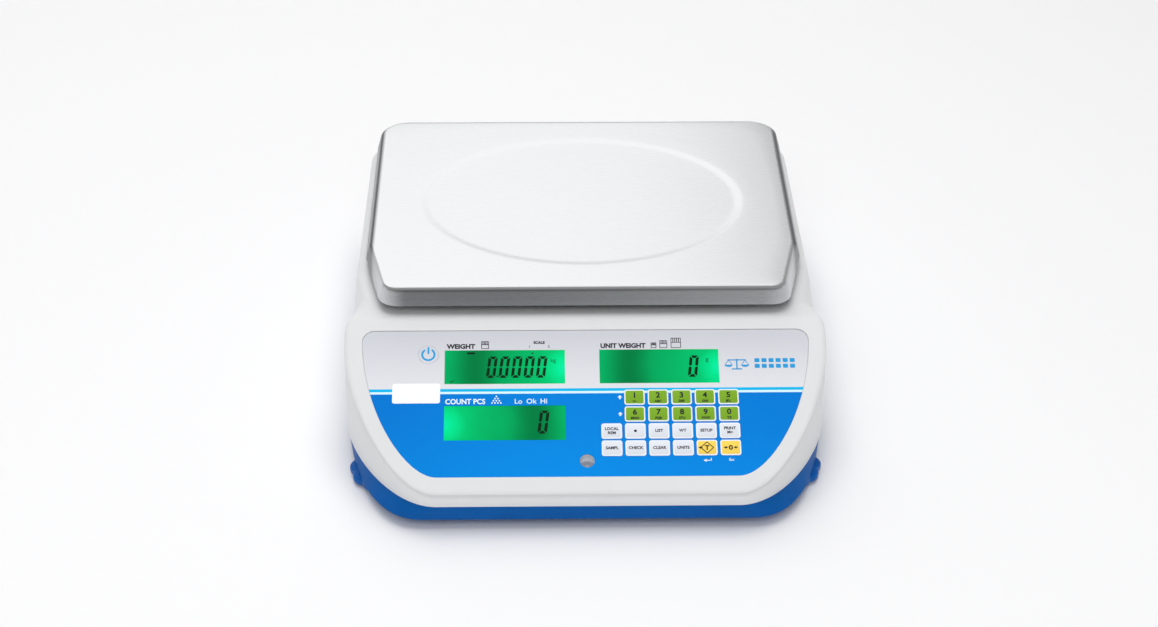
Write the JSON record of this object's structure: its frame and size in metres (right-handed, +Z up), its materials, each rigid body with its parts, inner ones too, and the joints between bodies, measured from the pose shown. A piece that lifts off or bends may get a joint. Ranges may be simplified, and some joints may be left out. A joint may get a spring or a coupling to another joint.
{
  "type": "counting scale",
  "caption": "Bench counting scale: stainless pan over a moulded case with a sloped console, three green displays, a membrane keypad and levelling feet.",
  "frame": {"origin": "on the table under the middle of the scale's overall box", "axes": "+X to the user's right, +Y away from the user, +Z up"},
  "size_m": [0.315, 0.355, 0.11],
  "materials": {
    "base_blue": "fine moulded texture, mid blue",
    "cover_white": "fine moulded texture, very light grey",
    "overlay_print": "printed polyester film, silver above and blue below",
    "display_green": "backlit green liquid crystal display",
    "light_plate": "clear light guide",
    "circuit_board": "green solder mask",
    "membrane": "polyester film",
    "beam_aluminium": "machined",
    "black_steel": "black oxide steel",
    "battery_case": "moulded ABS",
    "lead_insulation": "PVC insulation",
    "ribbon_insulation": "PVC ribbon",
    "zinc_steel": "zinc plated steel",
    "level_cup": "moulded cup",
    "level_glass": "clear acrylic vial",
    "socket_black": "moulded socket",
    "socket_metal": "nickel plated shell",
    "support_cast": "die-cast aluminium",
    "pad_rubber": "soft rubber",
    "pan_steel": "fine brushed stainless steel",
    "key_silver": "printed polyester film",
    "key_green": "printed polyester film",
    "key_white": "printed polyester film",
    "key_yellow": "printed polyester film",
    "wheel_blue": "moulded scalloped wheel"
  },
  "bodies": {
    "housing": {"base_tray": "base_blue", "top_cover": "cover_white", "front_overlay": "overlay_print", "lcd_weight": "display_green", "lcd_unit_weight": "display_green", "lcd_count": "display_green", "lcd_backlights": "light_plate", "display_board": "circuit_board", "key_domes": "membrane", "main_board": "circuit_board", "load_cell": "beam_aluminium", "load_cell_riser": "beam_aluminium", "load_cell_bolts": "black_steel", "overload_stops": "black_steel", "battery": "battery_case", "battery_door": "base_blue", "internal_leads": "lead_insulation", "ribbon_cable": "ribbon_insulation", "foot_nuts": "zinc_steel", "level_housing": "level_cup", "level_vial": "level_glass", "case_screws": "zinc_steel", "small_screws": "zinc_steel", "dc_inlet": "socket_black", "serial_port": "socket_metal"},
    "platform": {"pan_support": "support_cast", "support_bolts": "black_steel", "support_pads": "pad_rubber"},
    "pan": {"weighing_pan": "pan_steel"},
    "foot_fl": {"foot_pad_fl": "pad_rubber"},
    "wheel_fl": {"foot_wheel_fl": "wheel_blue"},
    "foot_fr": {"foot_pad_fr": "pad_rubber"},
    "wheel_fr": {"foot_wheel_fr": "wheel_blue"},
    "foot_rl": {"foot_pad_rl": "pad_rubber"},
    "wheel_rl": {"foot_wheel_rl": "wheel_blue"},
    "foot_rr": {"foot_pad_rr": "pad_rubber"},
    "wheel_rr": {"foot_wheel_rr": "wheel_blue"},
    "pad_key_power": {"key_power": "key_silver"},
    "pad_key_1": {"key_1": "key_green"},
    "pad_key_2": {"key_2": "key_green"},
    "pad_key_3": {"key_3": "key_green"},
    "pad_key_4": {"key_4": "key_green"},
    "pad_key_5": {"key_5": "key_green"},
    "pad_key_6": {"key_6": "key_green"},
    "pad_key_7": {"key_7": "key_green"},
    "pad_key_8": {"key_8": "key_green"},
    "pad_key_9": {"key_9": "key_green"},
    "pad_key_0": {"key_0": "key_green"},
    "pad_key_local": {"key_local": "key_white"},
    "pad_key_point": {"key_point": "key_white"},
    "pad_key_lookup": {"key_lookup": "key_white"},
    "pad_key_weight": {"key_weight": "key_white"},
    "pad_key_setup": {"key_setup": "key_white"},
    "pad_key_print": {"key_print": "key_white"},
    "pad_key_sample": {"key_sample": "key_white"},
    "pad_key_check": {"key_check": "key_white"},
    "pad_key_clear": {"key_clear": "key_white"},
    "pad_key_units": {"key_units": "key_white"},
    "pad_key_tare": {"key_tare": "key_yellow"},
    "pad_key_zero": {"key_zero": "key_yellow"}
  },
  "joints": [
    {"name": "platform_deflect", "type": "slide", "parent": "housing", "child": "platform", "axis": [0, 0, -1], "range_m": [0, 0.0008], "stiffness_N_per_m": 100000, "springref_m": -0.00015, "deforming": ["load_cell"]},
    {"name": "pan_lift", "type": "slide", "parent": "platform", "child": "pan", "axis": [0, 0, 1], "range_m": [0, 0.06]},
    {"name": "foot_fl_height", "type": "slide", "parent": "housing", "child": "foot_fl", "axis": [0, 0, -1], "range_m": [0, 0.006]},
    {"name": "foot_fl_screw", "type": "hinge", "parent": "foot_fl", "child": "wheel_fl", "pos_m": [-0.1295, -0.115, 0.005], "axis": [0, 0, -1], "range_deg": [0, 1440]},
    {"name": "foot_fr_height", "type": "slide", "parent": "housing", "child": "foot_fr", "axis": [0, 0, -1], "range_m": [0, 0.006]},
    {"name": "foot_fr_screw", "type": "hinge", "parent": "foot_fr", "child": "wheel_fr", "pos_m": [0.1295, -0.115, 0.005], "axis": [0, 0, -1], "range_deg": [0, 1440]},
    {"name": "foot_rl_height", "type": "slide", "parent": "housing", "child": "foot_rl", "axis": [0, 0, -1], "range_m": [0, 0.006]},
    {"name": "foot_rl_screw", "type": "hinge", "parent": "foot_rl", "child": "wheel_rl", "pos_m": [-0.126, 0.145, 0.005], "axis": [0, 0, -1], "range_deg": [0, 1440]},
    {"name": "foot_rr_height", "type": "slide", "parent": "housing", "child": "foot_rr", "axis": [0, 0, -1], "range_m": [0, 0.006]},
    {"name": "foot_rr_screw", "type": "hinge", "parent": "foot_rr", "child": "wheel_rr", "pos_m": [0.126, 0.145, 0.005], "axis": [0, 0, -1], "range_deg": [0, 1440]},
    {"name": "press_key_power", "type": "slide", "parent": "housing", "child": "pad_key_power", "axis": [0, 0.4848, -0.8746], "range_m": [0, 0.0005], "stiffness_N_per_m": 1500, "springref_m": -0.0005},
    {"name": "press_key_1", "type": "slide", "parent": "housing", "child": "pad_key_1", "axis": [0, 0.4848, -0.8746], "range_m": [0, 0.0005], "stiffness_N_per_m": 1500, "springref_m": -0.0005},
    {"name": "press_key_2", "type": "slide", "parent": "housing", "child": "pad_key_2", "axis": [0, 0.4848, -0.8746], "range_m": [0, 0.0005], "stiffness_N_per_m": 1500, "springref_m": -0.0005},
    {"name": "press_key_3", "type": "slide", "parent": "housing", "child": "pad_key_3", "axis": [0, 0.4848, -0.8746], "range_m": [0, 0.0005], "stiffness_N_per_m": 1500, "springref_m": -0.0005},
    {"name": "press_key_4", "type": "slide", "parent": "housing", "child": "pad_key_4", "axis": [0, 0.4848, -0.8746], "range_m": [0, 0.0005], "stiffness_N_per_m": 1500, "springref_m": -0.0005},
    {"name": "press_key_5", "type": "slide", "parent": "housing", "child": "pad_key_5", "axis": [0, 0.4848, -0.8746], "range_m": [0, 0.0005], "stiffness_N_per_m": 1500, "springref_m": -0.0005},
    {"name": "press_key_6", "type": "slide", "parent": "housing", "child": "pad_key_6", "axis": [0, 0.4848, -0.8746], "range_m": [0, 0.0005], "stiffness_N_per_m": 1500, "springref_m": -0.0005},
    {"name": "press_key_7", "type": "slide", "parent": "housing", "child": "pad_key_7", "axis": [0, 0.4848, -0.8746], "range_m": [0, 0.0005], "stiffness_N_per_m": 1500, "springref_m": -0.0005},
    {"name": "press_key_8", "type": "slide", "parent": "housing", "child": "pad_key_8", "axis": [0, 0.4848, -0.8746], "range_m": [0, 0.0005], "stiffness_N_per_m": 1500, "springref_m": -0.0005},
    {"name": "press_key_9", "type": "slide", "parent": "housing", "child": "pad_key_9", "axis": [0, 0.4848, -0.8746], "range_m": [0, 0.0005], "stiffness_N_per_m": 1500, "springref_m": -0.0005},
    {"name": "press_key_0", "type": "slide", "parent": "housing", "child": "pad_key_0", "axis": [0, 0.4848, -0.8746], "range_m": [0, 0.0005], "stiffness_N_per_m": 1500, "springref_m": -0.0005},
    {"name": "press_key_local", "type": "slide", "parent": "housing", "child": "pad_key_local", "axis": [0, 0.4848, -0.8746], "range_m": [0, 0.0005], "stiffness_N_per_m": 1500, "springref_m": -0.0005},
    {"name": "press_key_point", "type": "slide", "parent": "housing", "child": "pad_key_point", "axis": [0, 0.4848, -0.8746], "range_m": [0, 0.0005], "stiffness_N_per_m": 1500, "springref_m": -0.0005},
    {"name": "press_key_lookup", "type": "slide", "parent": "housing", "child": "pad_key_lookup", "axis": [0, 0.4848, -0.8746], "range_m": [0, 0.0005], "stiffness_N_per_m": 1500, "springref_m": -0.0005},
    {"name": "press_key_weight", "type": "slide", "parent": "housing", "child": "pad_key_weight", "axis": [0, 0.4848, -0.8746], "range_m": [0, 0.0005], "stiffness_N_per_m": 1500, "springref_m": -0.0005},
    {"name": "press_key_setup", "type": "slide", "parent": "housing", "child": "pad_key_setup", "axis": [0, 0.4848, -0.8746], "range_m": [0, 0.0005], "stiffness_N_per_m": 1500, "springref_m": -0.0005},
    {"name": "press_key_print", "type": "slide", "parent": "housing", "child": "pad_key_print", "axis": [0, 0.4848, -0.8746], "range_m": [0, 0.0005], "stiffness_N_per_m": 1500, "springref_m": -0.0005},
    {"name": "press_key_sample", "type": "slide", "parent": "housing", "child": "pad_key_sample", "axis": [0, 0.4848, -0.8746], "range_m": [0, 0.0005], "stiffness_N_per_m": 1500, "springref_m": -0.0005},
    {"name": "press_key_check", "type": "slide", "parent": "housing", "child": "pad_key_check", "axis": [0, 0.4848, -0.8746], "range_m": [0, 0.0005], "stiffness_N_per_m": 1500, "springref_m": -0.0005},
    {"name": "press_key_clear", "type": "slide", "parent": "housing", "child": "pad_key_clear", "axis": [0, 0.4848, -0.8746], "range_m": [0, 0.0005], "stiffness_N_per_m": 1500, "springref_m": -0.0005},
    {"name": "press_key_units", "type": "slide", "parent": "housing", "child": "pad_key_units", "axis": [0, 0.4848, -0.8746], "range_m": [0, 0.0005], "stiffness_N_per_m": 1500, "springref_m": -0.0005},
    {"name": "press_key_tare", "type": "slide", "parent": "housing", "child": "pad_key_tare", "axis": [0, 0.4848, -0.8746], "range_m": [0, 0.0005], "stiffness_N_per_m": 1500, "springref_m": -0.0005},
    {"name": "press_key_zero", "type": "slide", "parent": "housing", "child": "pad_key_zero", "axis": [0, 0.4848, -0.8746], "range_m": [0, 0.0005], "stiffness_N_per_m": 1500, "springref_m": -0.0005}
  ],
  "couplings": [
    {"joint": "foot_fl_height", "follows": "foot_fl_screw", "m_per_rad": 0.00023873},
    {"joint": "foot_fr_height", "follows": "foot_fr_screw", "m_per_rad": 0.00023873},
    {"joint": "foot_rl_height", "follows": "foot_rl_screw", "m_per_rad": 0.00023873},
    {"joint": "foot_rr_height", "follows": "foot_rr_screw", "m_per_rad": 0.00023873}
  ]
}
